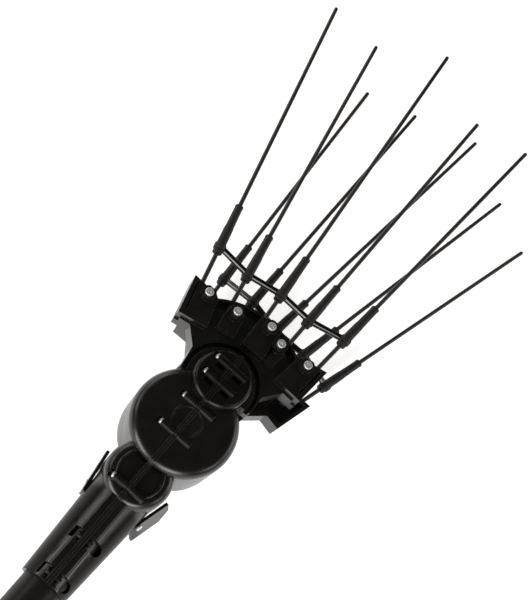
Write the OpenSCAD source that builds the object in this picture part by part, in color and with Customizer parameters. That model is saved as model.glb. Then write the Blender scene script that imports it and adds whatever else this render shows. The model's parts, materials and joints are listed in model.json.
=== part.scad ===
// Head of an electric olive harvester: two five-tine combs that beat against each other
// on one upright pivot, driven by a flat motor, a gear pair and two eccentrics.
// The frame starts at the open end of the pole. X runs along the pole towards the tines,
// Y to the left, Z up, and the middle plane between the combs is Z = 0.

/* [Pole] */
// Outer radius of the pole
pole_r = 20; // [16:0.5:22]
// Wall of the pole
pole_wall = 1.8; // [1.2:0.1:3]
// Length of pole that stands out behind the socket
pole_free = 80; // [40:1:200]
// Length of pole inside the socket
pole_in = 70; // [40:1:80]

/* [Housing] */
// Wall of the two shells
shell_wall = 3; // [2:0.25:4]
// From the socket's mouth to the middle of the motor lobe
socket_len = 121; // [110:1:140]
// Outer radius of the socket at its mouth, beyond the pole
socket_mouth_skin = 3.4; // [2.5:0.1:6]
// Outer radius of the socket where it meets the motor lobe
socket_root_r = 30; // [28:0.5:31]
// From the motor lobe to the drive lobe
lobe_pitch = 63; // [58:0.5:68]
// From the drive lobe to the comb pivot
nose_pitch = 53; // [50:0.5:56]
// Radius of the motor lobe
motor_lobe_r = 32; // [30:0.5:36]
// Half height of the motor lobe
motor_lobe_h = 30; // [29:0.5:33]
// Radius of the drive lobe
drive_lobe_r = 52; // [51:0.5:56]
// Half height of the drive lobe
drive_lobe_h = 36; // [35:0.5:40]
// Radius of the nose over the comb pivot
nose_r = 29; // [25:0.5:31]
// Thickness of the motor lobe's floor
motor_floor = 4; // [3.5:0.25:6]
// Cover over the crank bearings and over the pivot's ends
bearing_cover = 1.6; // [0.5:0.1:3]
// Height of the nose cap above the comb's hub
nose_cap_h = 12.4; // [10:0.2:16]
// Rounding of the motor lobe's edge
motor_lobe_round = 8; // [4:0.5:10]
// Rounding of the drive lobe's edge
drive_lobe_round = 9; // [5:0.5:12]
// Rounding of the nose's edge
nose_round = 5; // [2:0.5:7]
// Width of the raised lip on each shell, along the seam
lip_w = 2.6; // [1.5:0.1:4]
// Height of the raised lip
lip_h = 1.5; // [0.5:0.1:2.5]
// Radius of the round recess in the motor lobe's roof
recess_r = 20.5; // [15:0.5:20.5]
// Depth of that recess
recess_deep = 4; // [2:0.25:5]
// Rounding of that recess's rim
recess_round = 3; // [1:0.25:3.25]
// Radius of the raised ring over the crank
ring_r = 15.5; // [10:0.5:20]
// Width of that ring
ring_w = 2; // [1:0.25:4]
// Height of that ring
ring_h = 0.8; // [0.4:0.1:1.5]
// Width of the clamp rail along the top and bottom of the socket
rail_w = 23; // [20:0.5:28]
// Cover of the rail over its clamp bolts
rail_cover = 1.8; // [1.2:0.1:3]
// Rounding of the rail's edges
rail_round = 5; // [2:0.5:7]

/* [Side hooks] */
// How far each hook's screw lies behind the motor lobe's middle
hook_back = 29; // [27:0.5:31]
// From the middle to each hook's inner face at its screw
hook_y = 28.2; // [27.4:0.1:28.6]
// Length of each hook in front of its screw
hook_len = 33; // [25:1:40]
// Length of each hook behind its screw
hook_root = 9; // [7:0.5:12]
// Thickness of each hook
hook_t = 3; // [2.5:0.25:4]
// Height of each hook above its screw
hook_up = 5; // [4.5:0.25:8]
// Height of each hook below its screw
hook_drop = 17; // [10:0.5:20]
// Height of the hook's tip
hook_tip_h = 12; // [6:0.25:14]
// Length over which the hook narrows to its tip
hook_taper = 11; // [5:0.5:20]
// How far the left hook leans out towards its tip, in degrees
left_lean = 9.5; // [9:0.25:16]
// How far the right hook leans out towards its tip, in degrees
right_lean = 15; // [14:0.25:18]
// How far the left hook's lower edge flares out, in degrees
left_flare = 0; // [0:1:20]
// How far the right hook's lower edge flares out, in degrees
right_flare = 20; // [0:1:22]
// Radius of the hook screws
hook_screw_r = 1.8; // [1.5:0.1:2.2]
// Length of the hook screws inside the shell
hook_screw_in = 6; // [5:0.25:7]
// Radius of their heads
hook_head_r = 3; // [2.7:0.1:3.6]
// Height of their heads
hook_head_h = 2; // [1.5:0.1:2.6]

/* [Shell screws] */
// Radius of the shell screws
screw_r = 2; // [1.5:0.1:2.2]
// Radius of their heads
screw_head_r = 3.4; // [3:0.1:3.8]
// Height of their heads
screw_head_h = 2.6; // [1.6:0.1:3.2]
// Radius of the cross bosses that hold them
boss_r = 4.2; // [3.9:0.1:5]
// Half length of each cross boss
boss_half = 17; // [14:0.5:18]
// How far the cross bosses stand above the roof
boss_rise = 2.4; // [1.5:0.1:3]
// Width of the pockets in the nose behind its cross bosses
relief_w = 4.5; // [3:0.25:6]
// Depth of those pockets
relief_deep = 5; // [2:0.25:7]
// Wall between those pockets and the seam's lip
relief_wall = 2; // [1:0.25:4]

/* [Socket clamp] */
// Radius of the clamp bolts
clamp_r = 2; // [1.5:0.1:2.5]
// Radius of the clamp bolt heads
clamp_head_r = 3.2; // [2.8:0.1:3.9]
// Height of the clamp bolt heads
clamp_head_h = 4; // [3:0.1:5]
// Height of the clamp nuts
clamp_nut_h = 3.2; // [2:0.1:4]
// Wall between the pockets and the pole
pocket_skin = 1.6; // [1:0.1:2.4]
// Width of the pockets that hold the clamp bolts
pocket_w = 11; // [9:0.5:13]
// Half thickness of the wall left between two pockets
lug_half = 3.2; // [2.5:0.1:4.5]
// Reach of the left pockets from the seam
pocket_left = 13; // [11:0.5:16]
// Reach of the right pockets from the seam
pocket_right = 19; // [14:0.5:20]
// From the socket's mouth to the first clamp bolt
clamp_first = 8; // [7.5:0.5:12]
// From the first clamp bolt to the second
clamp_pitch = 39; // [30:0.5:42]

/* [Combs] */
// Half of the full beat of each comb, in degrees
swing_half = 6.5; // [4:0.5:7]
// How far the combs stand apart from the middle at rest, in degrees
rest_swing = 5.5; // [0:0.25:6]
// Height of each comb's inner face above the middle plane
comb_in = 11.5; // [11.2:0.1:13]
// Thickness of each comb's base plate
base_t = 18.5; // [17:0.25:20]
// Height of the tine blocks on the base plate
block_h = 8.5; // [8:0.25:10]
// Height of the screw bosses on the base plate
cap_boss_h = 13.7; // [11:0.25:15]
// Radius of the screw bosses
cap_boss_r = 7.4; // [6.5:0.1:8]
// Radius of the comb's hub under the nose cap
hub_r = 30; // [26:0.5:32]
// Radius of the base plate's curved front edge
front_r = 84; // [80:0.5:88]
// Half width of the comb across its wings
wing_half = 79; // [77:0.5:82]
// Inner radius of the groove round the nose
groove_in = 34.5; // [33.5:0.25:36]
// Outer radius of the groove round the nose
groove_out = 39; // [38:0.25:40]
// Depth of that groove
groove_deep = 8; // [3:0.5:10]
// Height of the pads behind the inner screws
pad_h = 5; // [2:0.25:7]
// Width of the rim along the curved front edge
rim_w = 2.5; // [2:0.25:4]
// Width of the trough behind that rim
trough_w = 9; // [6:0.25:11]
// Depth of that trough
trough_deep = 7; // [3:0.25:9]
// Depth of the slots near the comb's ends
end_slot_deep = 8; // [3:0.5:10]
// Depth of the hollows under the outer blocks
hollow_deep = 17.5; // [8:0.25:18]

/* [Tines] */
// Radius of the tines
tine_r = 2.3; // [2:0.05:2.6]
// From the comb pivot to the tie strip
strip_x = 111.5; // [104:0.5:120]
// Length of tine behind the tie strip
tine_root = 68; // [55:0.5:69]
// Length of the middle tine beyond the tie strip
middle_reach = 382; // [200:1:420]
// Length of the inner tines beyond the tie strip
inner_reach = 338; // [200:1:400]
// Length of the outer tines beyond the tie strip
outer_reach = 331; // [200:1:400]
// Sideways place of the inner tines at the tie strip
inner_y = 38; // [36:0.25:40]
// Sideways place of the outer tines at the tie strip
outer_y = 77; // [75:0.25:79]
// How far the inner tines fan out, in degrees
inner_fan = 6; // [3:0.25:7]
// How far the outer tines fan out, in degrees
outer_fan = 10; // [8:0.25:11]
// Height of the middle tine at the tie strip
middle_z = 33.4; // [32:0.1:36]
// Height of the inner tines at the tie strip
inner_z = 24.8; // [22:0.1:25.5]
// Height of the outer tines at the tie strip
outer_z = 36.8; // [35:0.1:38]
// How far the middle tine rises, in degrees
middle_rise = 0.65; // [0:0.05:2]
// How far the inner tines rise, in degrees
inner_rise = 0.8; // [0:0.05:2]
// How far the outer tines rise, in degrees
outer_rise = 2.4; // [0:0.1:3]

/* [Sleeves and tie strip] */
// Radius of the sleeve on each tine
sleeve_r = 4.7; // [4.3:0.1:5.2]
// Length of the sleeve's thick part
sleeve_len = 38; // [25:0.5:45]
// Radius of the sleeve's thin end
sleeve_tip_r = 3.6; // [3:0.1:4]
// Length of the sleeve's thin end
sleeve_tip_len = 8; // [4:0.5:12]
// Radius of the sleeve's neck, which the tie strip holds
neck_r = 3.9; // [3.4:0.1:4.2]
// Radius of the sleeve's rear flange
flange_r = 5.4; // [5:0.1:6]
// Thickness of the sleeve's rear flange
flange_t = 3; // [2:0.25:5]
// Radius of the tie strip's eyes
eye_r = 6.6; // [6:0.1:7.5]
// Length of the tie strip's eyes
eye_len = 9; // [7:0.25:12]
// Width of the tie strip's bars
bar_w = 4.6; // [3:0.1:6]
// Height of the tie strip's bars
bar_h = 6; // [4:0.1:8]

/* [Comb screws] */
// Radius of the comb screws
cap_r = 2.5; // [2:0.1:2.8]
// Radius of their socket heads
cap_head_r = 4.25; // [3.6:0.05:4.5]
// Height of their socket heads
cap_head_h = 5; // [4:0.25:6]
// Radius of the key socket in each head
cap_key_r = 2.3; // [1.5:0.1:2.6]
// Across-flats size of their nuts
cap_nut_flats = 8; // [7:0.1:8.6]
// Height of their nuts
cap_nut_h = 4; // [3:0.25:5]
// Thickness that the outer screws hold between head and nut
cap_grip = 6; // [4:0.25:8]
// Radius of the wrench pockets at their nuts
wrench_r = 6.4; // [5.6:0.1:6.8]
// Depth of the seat under each head
cap_seat = 2.5; // [1:0.25:4]

/* [Drive] */
// Radius of the comb pivot
pivot_r = 6; // [5:0.25:7]
// Wall of the pivot bushes
bush_wall = 2; // [1.2:0.1:2.5]
// Place of the drive pin behind the comb pivot
drive_pin_back = 18; // [16:0.5:20]
// Place of the drive pin beside the comb pivot
drive_pin_side = 16; // [14:0.5:18]
// Radius of the drive pins
drive_pin_r = 3; // [2.5:0.1:3.5]
// Radius of the crankshaft in its bearings
crank_r = 5; // [4:0.25:5.5]
// Radius of the crankshaft's shoulders
crank_shoulder_r = 7; // [6:0.25:8]
// Metal left outside the crankshaft on the thin side of each eccentric
eccentric_wall = 1.5; // [1:0.1:2.5]
// Wall of the rings on the connecting rods
strap_wall = 4; // [3:0.1:5]
// Radius of the small end of the connecting rods
small_end_r = 6.5; // [6:0.1:7]
// Width of the connecting rods between their ends
rod_w = 8; // [6:0.25:10]
// Thickness of the connecting rods
rod_t = 5.6; // [4.6:0.1:6]
// Outer radius of the crank bearings
bearing_r = 13; // [11:0.25:14]
// Width of the crank bearings
bearing_w = 8; // [6:0.25:9]
// Tooth size of the gears, as pitch diameter over teeth
gear_module = 1.5; // [1.4:0.01:1.52]
// Teeth on the crank gear
gear_teeth = 54; // [52:1:56]
// Teeth on the motor pinion
pinion_teeth = 12; // [12:1:14]
// Thickness of the gears
gear_t = 7; // [5:0.25:7.4]

/* [Motor] */
// Outer radius of the motor's bell
bell_r = 19.5; // [18:0.25:19.75]
// Wall of the motor's bell
bell_wall = 1.6; // [1:0.1:2]
// Thickness of the magnets in the bell
magnet_t = 1.6; // [1:0.1:2]
// Gap between the magnets and the stator
air_gap = 0.5; // [0.3:0.05:0.8]
// Thickness of the motor's mounting plate
motor_plate_t = 3; // [2.5:0.1:3.5]
// Radius of the motor shaft
motor_shaft_r = 3; // [2.5:0.1:3.5]
// Number of poles on the stator
stator_poles = 12; // [9:3:15]
// Width of the slots between the stator's poles
pole_slot_w = 1; // [0.6:0.1:1.6]
// Depth of those slots
pole_slot_deep = 5; // [3:0.25:7]
// Radius of the motor's mounting screws
motor_screw_r = 1.5; // [1.2:0.1:2]
// Radius of their heads
motor_head_r = 2.8; // [2.4:0.1:3.2]
// Height of their heads
motor_head_h = 1.8; // [1.2:0.1:2.2]
// Radius of the cable's hole in the grommet
cable_r = 4; // [2.5:0.25:6]
// Thickness of the grommet
grommet_t = 8; // [4:0.5:10]

/* [Hidden] */
$fn = 64;

black = "#1c1b1a";
soft_black = "#262524";
carbon = "#201d1b";
zinc = "#c9cacb";
steel = "#9a9da1";
dark_steel = "#302f2e";
bronze = "#a9793f";
copper = "#b0683c";
dull_aluminium = "#3a3a3b";

// Clearances: press seat, running fit, play between moving faces, play between gear teeth
fit = 0.02;
run = 0.05;
play = 0.6;
tooth_play = 0.12;
// Overrun of cuts
over = 1;

// Places along the pole's line
mouth_x = pole_free;
pole_end_x = mouth_x + pole_in;
motor_lobe_x = mouth_x + socket_len;
crank_x = motor_lobe_x + lobe_pitch;
pivot_x = crank_x + nose_pitch;

// Levels of the comb, of the slots it swings in and of the nose
base_top = comb_in + base_t;
block_top = base_top + block_h;
cap_boss_top = base_top + cap_boss_h;
slot_low = comb_in - play;
slot_high = base_top + play;
nose_h = slot_high + nose_cap_h;
washer_t = play - 2 * run;

// Outlines of the comb, as shares of its front radius along X and of its half width along Y
comb_scale = [front_r, wing_half];
wing_shares = [[0.8, 0.652], [0.84, 1], [0.325, 0.905], [0.345, 0.7], [0.149, 0.519], [-0.095, 0.5]];
arm_share = [-0.095, 0.443];
outer_block_shares = [[0.8, 0.652], [0.84, 1], [0.345, 0.905], [0.39, 0.52], [0.76, 0.6]];
outer_hollow_shares = [[0.74, 0.66], [0.785, 0.945], [0.385, 0.868], [0.4, 0.6], [0.7, 0.62]];
middle_block_shares = [[0.5, 0.06], [0.935, 0.045], [0.92, -0.26], [0.487, -0.255]];
inner_pad_shares = [[0.502, 0.425], [0.51, 0.178], [0.735, 0.2], [0.7, 0.44]];
other_pad_shares = [[0.52, -0.275], [0.5, -0.41], [0.735, -0.45], [0.735, -0.3]];
end_slot_shares = [[0.8, 0.942], [0.43, 0.867], [0.43, 0.839], [0.8, 0.914]];
outer_screw_share = [0.734, 0.743];
inner_screw_share = [0.749, 0.329];
middle_screw_share = [0.855, -0.115];
arm_tip = shared(wing_shares[5]);
slot_r = norm(arm_tip) + play;

// Screws of one comb: place, and height of the nut's lower face
cap_seat_z = cap_boss_top - cap_seat;
high_nut_z = cap_seat_z - cap_grip - cap_nut_h;
comb_screw_places = [
    [shared(outer_screw_share), high_nut_z],
    [shared(inner_screw_share), comb_in],
    [shared(middle_screw_share), comb_in],
    [flip(shared(inner_screw_share)), comb_in],
    [flip(shared(outer_screw_share)), high_nut_z]];

// Tines, listed from the middle outwards
tine_y = [0, inner_y, outer_y];
tine_z = [middle_z, inner_z, outer_z];
tine_fan = [0, inner_fan, outer_fan];
tine_rise = [middle_rise, inner_rise, outer_rise];
tine_reach = [middle_reach, inner_reach, outer_reach];

// Gears, with the tooth height as shares of the module
gear_pitch_r = gear_module * gear_teeth / 2;
pinion_pitch_r = gear_module * pinion_teeth / 2;
motor_x = crank_x - gear_pitch_r - pinion_pitch_r;
pressure = 25;
tooth_top_share = 0.9;
tooth_root_share = 1.2;
flank_steps = 4;

// Crank, whose throw gives the combs their beat
rod_lean = atan2(drive_pin_side, nose_pitch - drive_pin_back);
pin_lever = drive_pin_side * cos(rod_lean) + drive_pin_back * sin(rod_lean);
crank_throw = pin_lever * swing_half * PI / 180;
rest_crank = acos(-rest_swing / swing_half);
eccentric_r = crank_r + crank_throw + eccentric_wall;
strap_bore = eccentric_r + run;
rod_low = gear_t / 2 + 2 * play;
rod_high = rod_low + rod_t;

// Rooms inside the housing
drive_room_h = drive_lobe_h - shell_wall;
motor_room_top = motor_lobe_h - recess_deep - shell_wall;
motor_room_low = motor_lobe_h - motor_floor;
passage_r = pole_r - pole_wall - shell_wall;
bearing_top = drive_room_h - bearing_cover;
bearing_low = bearing_top - bearing_w;
seat_r = bearing_r + shell_wall;
post_r = pivot_r + shell_wall;

// Socket rail and its clamp bolts
socket_mouth_r = pole_r + socket_mouth_skin;
pocket_floor_r = pole_r + pocket_skin;
clamp_z = pocket_floor_r + clamp_head_r;
rail_h = clamp_z + clamp_r + rail_cover;
rail_len = socket_len - motor_lobe_r + shell_wall;

// Motor levels, counted down from the middle plane
bell_top = -rod_low;
plate_top = motor_plate_t - motor_room_low;
bell_low = plate_top + play;
stator_low = bell_low + play;
stator_high = bell_top - bell_wall - play;
bell_in = bell_r - bell_wall;
magnet_in = bell_in - magnet_t;
stator_r = magnet_in - air_gap;
motor_tube_r = motor_shaft_r + bell_wall;
motor_bolt_r = (motor_tube_r + stator_r) / 2;
motor_bolt_turns = [100, 150, 210, 260];

// Cross screws of the shells: place along X and height of the roof there
nose_cross_shares = [0.45, -0.2];
cross_places = [
    [pivot_x + nose_r * nose_cross_shares[0], nose_h],
    [pivot_x + nose_r * nose_cross_shares[1], nose_h],
    [pivot_x - nose_r - boss_r - lip_h, drive_lobe_h],
    [crank_x - ring_r, drive_lobe_h],
    [motor_lobe_x - recess_r + boss_r, motor_lobe_h]];
pivot_half = screw_z(nose_h) - screw_r - bearing_cover;
trough_r = screw_head_r + play / 2;
trough_half = boss_half + screw_head_h + shell_wall;

function flip(p) = [p[0], -p[1]];
function shared(p) = [p[0] * comb_scale[0], p[1] * comb_scale[1]];
function shared_all(points) = [for (p = points) shared(p)];
function turned(p, a) = [p[0] * cos(a) - p[1] * sin(a), p[0] * sin(a) + p[1] * cos(a)];
function inv(a) = tan(a) * 180 / PI - a;
function kind(i) = abs(i - 3);
function ring_side(i) = sign(3 - i);
function ring_at(i) = [strip_x, ring_side(i) * tine_y[kind(i)], tine_z[kind(i)]];
function screw_z(roof) = roof + boss_rise - boss_r;
function rod_base(side) = [crank_x + crank_throw * cos(rest_crank + side * rod_lean),
                           crank_throw * sin(rest_crank + side * rod_lean)];
function rod_tip(side) = [pivot_x, 0] + turned([-drive_pin_back, side * drive_pin_side], side * rest_swing);

// Half the angle of a gear tooth at radius r
function tooth_half(teeth, r) =
    let (pitch_r = gear_module * teeth / 2, base_r = pitch_r * cos(pressure))
    90 / teeth - tooth_play / pitch_r * 180 / PI + inv(pressure) - inv(acos(min(1, base_r / r)));

// Outline of a gear with involute flanks
function gear_outline(teeth) =
    let (pitch_r = gear_module * teeth / 2,
         base_r = pitch_r * cos(pressure),
         root_r = pitch_r - gear_module * tooth_root_share,
         top_r = pitch_r + gear_module * tooth_top_share,
         start_r = max(base_r, root_r),
         flank = [for (k = [0 : flank_steps]) start_r + (top_r - start_r) * k / flank_steps],
         radii = concat([root_r], flank))
    [for (t = [0 : teeth - 1]) for (side = [-1, 1]) for (k = [0 : flank_steps + 1])
        let (r = radii[side < 0 ? k : flank_steps + 1 - k],
             a = 360 * t / teeth + side * tooth_half(teeth, max(r, start_r)))
        [r * cos(a), r * sin(a)]];

module at(x) { translate([x, 0, 0]) children(); }

module along_x() { rotate([0, 90, 0]) children(); }

module along_y() { rotate([-90, 0, 0]) children(); }

module both_faces() {
    children();
    mirror([0, 0, 1]) children();
}

// Round drum with rounded edges, from z = -low to z = high
module drum(r, high, low, edge) {
    rotate_extrude() {
        translate([0, -low]) square([r - edge, high + low]);
        translate([0, edge - low]) square([r, high + low - 2 * edge]);
        translate([r - edge, high - edge]) intersection() {
            circle(edge);
            square(edge);
        }
        translate([r - edge, edge - low]) intersection() {
            circle(edge);
            translate([0, -edge]) square(edge);
        }
    }
}

module ring(outer, inner, h) {
    difference() {
        cylinder(r = outer, h = h);
        translate([0, 0, -over]) cylinder(r = inner, h = h + 2 * over);
    }
}

// Flat bar with rounded edges that makes the clamp rail, along X
module rail(grow) {
    half = rail_w / 2;
    high = rail_h + grow;
    at(mouth_x) rotate([90, 0, 90]) linear_extrude(rail_len) {
        square([2 * (half - rail_round), 2 * high], center = true);
        square([2 * half, 2 * (high - rail_round)], center = true);
        for (sx = [-1, 1], sy = [-1, 1])
            translate([sx * (half - rail_round), sy * (high - rail_round)]) circle(rail_round);
    }
}

// Outside of the housing, grown by the lip's height for the seam
module outer_form(grow = 0) {
    at(pivot_x) drum(nose_r + grow, nose_h + grow, nose_h + grow, nose_round);
    at(crank_x) drum(drive_lobe_r + grow, drive_lobe_h + grow, drive_lobe_h + grow, drive_lobe_round);
    at(motor_lobe_x) drum(motor_lobe_r + grow, motor_lobe_h + grow, motor_lobe_h + grow, motor_lobe_round);
    at(mouth_x) along_x() cylinder(h = socket_len, r1 = socket_mouth_r + grow, r2 = socket_root_r + grow);
    rail(grow);
}

module seam_lip() {
    intersection() {
        outer_form(lip_h);
        translate([mouth_x, -lip_w, -nose_h - over])
            cube([pivot_x + nose_r + lip_h - mouth_x, 2 * lip_w, 2 * (nose_h + over)]);
    }
}

module cross_bars(r, half) {
    both_faces() for (p = cross_places)
        translate([p[0], -half, screw_z(p[1])]) along_y() cylinder(r = r, h = 2 * half);
}

// Puts a piece on a side hook, with X along the hook, Y outwards and the screw at the origin
module on_hook(side) {
    mirror([0, side > 0 ? 0 : 1, 0]) translate([motor_lobe_x - hook_back, hook_y, 0])
        rotate([side > 0 ? left_flare : right_flare, 0, side > 0 ? left_lean : right_lean]) children();
}

module hook_shank(r, end) {
    translate([0, -hook_screw_in, 0]) along_y() cylinder(r = r, h = hook_screw_in + end);
}

module recess() {
    translate([motor_lobe_x, 0, motor_lobe_h - recess_deep]) rotate_extrude() difference() {
        square([recess_r + recess_round, recess_deep + over]);
        translate([recess_r + recess_round, recess_deep - recess_round]) circle(recess_round);
        translate([recess_r, 0]) square([recess_round, recess_deep - recess_round]);
    }
}

module screw_holes() {
    both_faces() for (p = cross_places)
        translate([p[0], shell_wall - boss_half - fit, screw_z(p[1])]) along_y()
            cylinder(r = screw_r + fit, h = 2 * boss_half);
}

module drive_room() {
    difference() {
        at(crank_x) drum(drive_lobe_r - shell_wall, drive_room_h, drive_room_h,
                         drive_lobe_round - shell_wall);
        both_faces() translate([crank_x, 0, bearing_low]) cylinder(r = seat_r, h = drive_lobe_h);
        translate([pivot_x, 0, -drive_lobe_h]) cylinder(r = post_r, h = 2 * drive_lobe_h);
        cross_bars(trough_r + shell_wall / 2, trough_half + shell_wall);
    }
}

module motor_room() {
    difference() {
        at(motor_lobe_x) drum(motor_lobe_r - shell_wall, motor_room_top, motor_room_low,
                              motor_lobe_round - shell_wall);
        cross_bars(trough_r + shell_wall / 2, trough_half + shell_wall);
    }
}

module comb_slots() {
    both_faces() translate([pivot_x, 0, slot_low]) {
        cylinder(r = hub_r + play, h = slot_high - slot_low);
        intersection() {
            cylinder(r = slot_r, h = slot_high - slot_low);
            translate([-hub_r, -slot_r, 0]) cube([hub_r + slot_r, 2 * slot_r, slot_high - slot_low]);
        }
    }
}

module pocket(reach, round_end) {
    difference() {
        union() {
            translate([-pocket_w / 2, lug_half, 0])
                cube([pocket_w, reach - lug_half - round_end * pocket_w / 2, rail_h + lip_h + over]);
            if (round_end > 0)
                translate([0, reach - pocket_w / 2, 0]) cylinder(d = pocket_w, h = rail_h + lip_h + over);
        }
        translate([-pocket_w, 0, 0]) along_x() cylinder(r = pocket_floor_r, h = 2 * pocket_w);
    }
}

module clamp_places() {
    both_faces() for (k = [0, 1]) translate([mouth_x + clamp_first + k * clamp_pitch, 0, 0]) children();
}

module clamp_cuts() {
    clamp_places() {
        pocket(pocket_left, 0);
        mirror([0, 1, 0]) pocket(pocket_right, 1);
        translate([0, -lug_half - over, clamp_z]) along_y()
            cylinder(r = clamp_r + fit, h = 2 * (lug_half + over));
    }
}

module motor_bolt_places() {
    at(motor_x) for (turn = motor_bolt_turns) rotate(turn) translate([motor_bolt_r, 0, 0]) children();
}

// Pockets in the nose's roof, behind each of its cross bosses
module nose_reliefs() {
    length = boss_half - lip_w - 2 * relief_wall;
    for (k = [0, 1], side = [0, 1]) mirror([0, side, 0])
        translate([cross_places[k][0] - boss_r - relief_w, lip_w + relief_wall, nose_h - relief_deep])
            cube([relief_w, length, relief_deep + over]);
}

module housing() {
    difference() {
        union() {
            difference() {
                outer_form();
                recess();
            }
            seam_lip();
            cross_bars(boss_r, boss_half);
            both_faces() translate([crank_x, 0, drive_lobe_h - over])
                ring(ring_r, ring_r - ring_w, ring_h + over);
        }
        drive_room();
        motor_room();
        comb_slots();
        at(mouth_x - over) along_x() cylinder(r = pole_r + fit, h = pole_in + over);
        at(pole_end_x - over) along_x() cylinder(r = passage_r, h = motor_lobe_x - pole_end_x + over);
        translate([pivot_x, 0, -pivot_half]) cylinder(r = pivot_r + fit, h = 2 * pivot_half);
        both_faces() translate([crank_x, 0, bearing_low - over])
            cylinder(r = bearing_r + fit, h = bearing_w + over + run);
        screw_holes();
        both_faces() for (p = cross_places) translate([p[0], boss_half, screw_z(p[1])]) along_y()
            cylinder(r = trough_r, h = trough_half - boss_half);
        for (side = [-1, 1]) on_hook(side) hook_shank(hook_screw_r + fit, hook_t);
        both_faces() nose_reliefs();
        clamp_cuts();
        motor_bolt_places() translate([0, 0, -drive_lobe_h]) {
            cylinder(r = motor_screw_r + fit, h = drive_lobe_h);
            cylinder(r = motor_head_r + run, h = drive_lobe_h - motor_lobe_h + motor_head_h);
        }
    }
}

module half_space(side) {
    reach = drive_lobe_r + lip_h + over;
    translate([0, side > 0 ? 0 : -reach, -reach]) cube([pivot_x + reach, reach, 2 * reach]);
}

module left_shell() {
    color(black) intersection() {
        housing();
        half_space(1);
    }
}

module right_shell() {
    color(black) intersection() {
        housing();
        half_space(-1);
    }
}

module hex(flats, h) { cylinder(d = flats / cos(30), h = h, $fn = 6); }

module shell_screws() {
    color(zinc) both_faces() for (p = cross_places) translate([p[0], 0, screw_z(p[1])]) along_y() {
        translate([0, 0, shell_wall - boss_half]) cylinder(r = screw_r, h = 2 * boss_half - shell_wall);
        translate([0, 0, boss_half]) cylinder(r = screw_head_r, h = screw_head_h);
    }
}

// Flat hook that seats on the shell's side
module hook(side) {
    color(black) difference() {
        on_hook(side) difference() {
            rotate([90, 0, 0]) translate([0, 0, -hook_t]) linear_extrude(hook_t)
                polygon([[-hook_root, hook_up], [hook_len, hook_up], [hook_len, hook_up - hook_tip_h],
                         [hook_len - hook_taper, -hook_drop], [-hook_root, -hook_drop]]);
            hook_shank(hook_screw_r + fit, hook_t + over);
        }
        outer_form();
    }
}

module hook_screws() {
    color(zinc) for (side = [-1, 1]) on_hook(side) {
        hook_shank(hook_screw_r, hook_t);
        translate([0, hook_t, 0]) along_y() cylinder(r = hook_head_r, h = hook_head_h);
    }
}

module clamp_bolts() {
    color(dark_steel) clamp_places() translate([0, 0, clamp_z]) along_y() {
        translate([0, 0, lug_half]) cylinder(r = clamp_head_r, h = clamp_head_h);
        translate([0, 0, -lug_half - clamp_nut_h - clamp_r])
            cylinder(r = clamp_r, h = 2 * lug_half + clamp_nut_h + clamp_r);
    }
}

module clamp_nuts() {
    color(dark_steel) clamp_places() translate([0, -lug_half - clamp_nut_h, clamp_z]) along_y() difference() {
        hex(2 * clamp_head_r * cos(30), clamp_nut_h);
        translate([0, 0, -over]) cylinder(r = clamp_r + fit, h = clamp_nut_h + 2 * over);
    }
}

module pole() {
    color(soft_black) along_x() ring(pole_r, pole_r - pole_wall, pole_end_x);
}

module cable_grommet() {
    color(soft_black) at(pole_end_x) along_x() ring(passage_r - fit, cable_r, grommet_t);
}

module pivot_shaft() {
    color(steel) translate([pivot_x, 0, -pivot_half]) cylinder(r = pivot_r, h = 2 * pivot_half);
}

module thrust_washers() {
    color(bronze) both_faces() at(pivot_x) for (z = [slot_low, slot_high - washer_t])
        translate([0, 0, z]) ring(post_r, pivot_r + run, washer_t);
}

module crank_bearings() {
    color(steel) both_faces() translate([crank_x, 0, bearing_low])
        ring(bearing_r, crank_r + run, bearing_w);
}

module motor_mount() {
    color(dull_aluminium) at(motor_x) difference() {
        union() {
            translate([0, 0, -motor_room_low]) cylinder(r = stator_r, h = motor_plate_t);
            translate([0, 0, -motor_room_low]) cylinder(r = motor_tube_r, h = stator_high + motor_room_low);
        }
        translate([0, 0, -motor_room_low - over])
            cylinder(r = motor_shaft_r + run, h = stator_high + motor_room_low + 2 * over);
        for (turn = motor_bolt_turns) rotate(turn) translate([motor_bolt_r, 0, -motor_room_low - over])
            cylinder(r = motor_screw_r + fit, h = motor_plate_t + 2 * over);
    }
}

module motor_stator() {
    h = stator_high - stator_low;
    color(copper) at(motor_x) translate([0, 0, stator_low]) difference() {
        cylinder(r = stator_r, h = h);
        translate([0, 0, -over]) cylinder(r = motor_tube_r + fit, h = h + 2 * over);
        for (k = [0 : stator_poles - 1]) rotate(360 * k / stator_poles)
            translate([stator_r - pole_slot_deep, -pole_slot_w / 2, -over])
                cube([pole_slot_deep + over, pole_slot_w, h + 2 * over]);
    }
}

module motor_screws() {
    color(zinc) motor_bolt_places() translate([0, 0, -motor_lobe_h]) {
        cylinder(r = motor_head_r, h = motor_head_h);
        cylinder(r = motor_screw_r, h = motor_floor + motor_plate_t);
    }
}

module crankshaft() {
    color(steel) {
        translate([crank_x, 0, -bearing_top]) cylinder(r = crank_r, h = 2 * bearing_top);
        both_faces() translate([crank_x, 0, rod_high + play / 2])
            cylinder(r = crank_shoulder_r, h = bearing_low - run - rod_high - play / 2);
        for (side = [-1, 1]) translate(rod_base(side))
            translate([0, 0, side > 0 ? rod_low : -rod_high - play / 2])
                cylinder(r = eccentric_r, h = rod_t + play / 2);
    }
}

module gear(teeth, bore) {
    translate([0, 0, -gear_t / 2]) linear_extrude(gear_t) difference() {
        polygon(gear_outline(teeth));
        circle(bore);
    }
}

module drive_gear() {
    color(steel) at(crank_x) rotate(180) gear(gear_teeth, crank_r + fit);
}

module motor_pinion() {
    color(steel) at(motor_x) rotate(180 / pinion_teeth) gear(pinion_teeth, motor_shaft_r + fit);
}

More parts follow.
